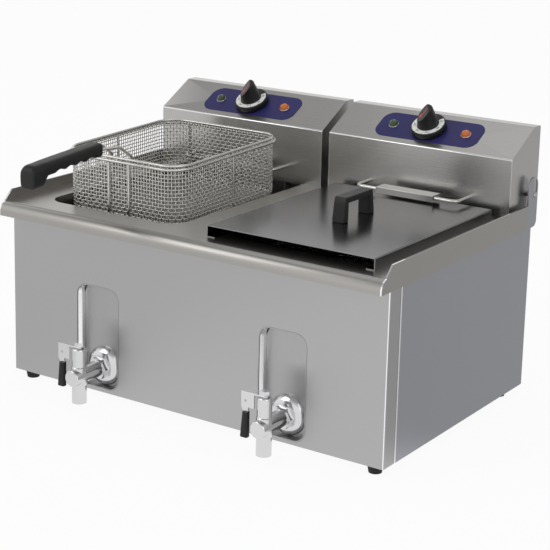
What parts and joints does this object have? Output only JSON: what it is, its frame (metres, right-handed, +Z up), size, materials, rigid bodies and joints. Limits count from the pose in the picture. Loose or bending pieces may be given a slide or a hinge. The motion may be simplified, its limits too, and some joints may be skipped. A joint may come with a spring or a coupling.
{
  "type": "electric deep fryer",
  "caption": "Countertop electric deep fryer with twin wells, hung wire basket, sliding lid, sloped control heads and front drain taps.",
  "frame": {"origin": "under the middle of the overall box, on the plane that the feet stand on", "axes": "+X to the right seen from the front, +Y to the back, +Z up; the taps face -Y"},
  "size_m": [0.607, 0.567, 0.3958],
  "materials": {
    "stainless": "brushed",
    "polished_steel": "fine brushed, half polished",
    "tank_steel": "satin",
    "wire_steel": "bright drawn wire",
    "chrome": "polished",
    "black_plastic": "matte",
    "black_rubber": "matte",
    "blue_plate": "semi-gloss",
    "green_lens": "clear, unlit",
    "amber_lens": "clear, lit",
    "element_steel": "dull, heat tinted"
  },
  "bodies": {
    "cabinet": {"front_panel": "stainless", "left_side_panel": "stainless", "right_side_panel": "stainless", "back_panel": "stainless", "base_plate": "stainless", "feet": "black_rubber", "worktop": "polished_steel", "seat_plates": "stainless", "left_tank": "tank_steel", "left_drain_pipe": "tank_steel", "left_recess_pan": "stainless", "left_tap_rosette": "chrome", "left_tap_body": "chrome", "left_tap_spout": "chrome", "right_tank": "tank_steel", "right_drain_pipe": "tank_steel", "right_recess_pan": "stainless", "right_tap_rosette": "chrome", "right_tap_body": "chrome", "right_tap_spout": "chrome"},
    "left_tap": {"left_tap_stem": "chrome", "left_tap_lever": "chrome", "left_tap_grip": "black_plastic"},
    "left_head": {"left_head_shell": "stainless", "left_head_base": "stainless", "left_heating_element": "element_steel", "left_sensor_tube": "tank_steel", "left_cable_gland": "black_plastic", "left_panel_plate": "blue_plate", "left_green_lamp": "green_lens", "left_amber_lamp": "amber_lens", "left_thermostat": "black_plastic", "left_hanger_rod": "wire_steel", "left_hanger_saddle": "stainless"},
    "left_knob": {"left_knob": "black_plastic"},
    "right_tap": {"right_tap_stem": "chrome", "right_tap_lever": "chrome", "right_tap_grip": "black_plastic"},
    "right_head": {"right_head_shell": "stainless", "right_head_base": "stainless", "right_heating_element": "element_steel", "right_sensor_tube": "tank_steel", "right_cable_gland": "black_plastic", "right_panel_plate": "blue_plate", "right_green_lamp": "green_lens", "right_amber_lamp": "amber_lens", "right_thermostat": "black_plastic", "right_hanger_rod": "wire_steel", "right_hanger_saddle": "stainless"},
    "right_knob": {"right_knob": "black_plastic"},
    "left_basket": {"left_basket_mesh": "wire_steel", "left_basket_rim": "wire_steel", "left_basket_frame": "wire_steel", "left_basket_handle_wires": "wire_steel", "left_basket_grip": "black_plastic"},
    "right_basket": {"right_basket_mesh": "wire_steel", "right_basket_rim": "wire_steel", "right_basket_frame": "wire_steel"},
    "lid": {"lid_sheet": "polished_steel", "lid_handle": "black_plastic"}
  },
  "joints": [
    {"name": "left_tap_turn", "type": "hinge", "parent": "cabinet", "child": "left_tap", "pos_m": [-0.1465, -0.1685, 0.046], "axis": [0, 0, 1], "range_deg": [0, 90]},
    {"name": "left_head_lift", "type": "slide", "parent": "cabinet", "child": "left_head", "axis": [0, 0, 1], "range_m": [0, 0.2]},
    {"name": "left_knob_turn", "type": "hinge", "parent": "left_head", "child": "left_knob", "pos_m": [-0.1495, 0.2305, 0.3585], "axis": [0, 0.4798, -0.8774], "range_deg": [0, 270]},
    {"name": "right_tap_turn", "type": "hinge", "parent": "cabinet", "child": "right_tap", "pos_m": [0.1525, -0.1685, 0.046], "axis": [0, 0, 1], "range_deg": [0, 90]},
    {"name": "right_head_lift", "type": "slide", "parent": "cabinet", "child": "right_head", "axis": [0, 0, 1], "range_m": [0, 0.2]},
    {"name": "right_knob_turn", "type": "hinge", "parent": "right_head", "child": "right_knob", "pos_m": [0.1495, 0.2305, 0.3585], "axis": [0, 0.4798, -0.8774], "range_deg": [0, 270]},
    {"name": "left_basket_lift", "type": "slide", "parent": "left_head", "child": "left_basket", "axis": [0, -0.0279, 0.9996], "range_m": [0, 0.15]},
    {"name": "right_basket_lift", "type": "slide", "parent": "right_head", "child": "right_basket", "axis": [0, 0, 1], "range_m": [0, 0.035]},
    {"name": "lid_slide", "type": "slide", "parent": "right_head", "child": "lid", "axis": [0, -0.9976, 0.0698], "range_m": [0, 0.35]}
  ]
}
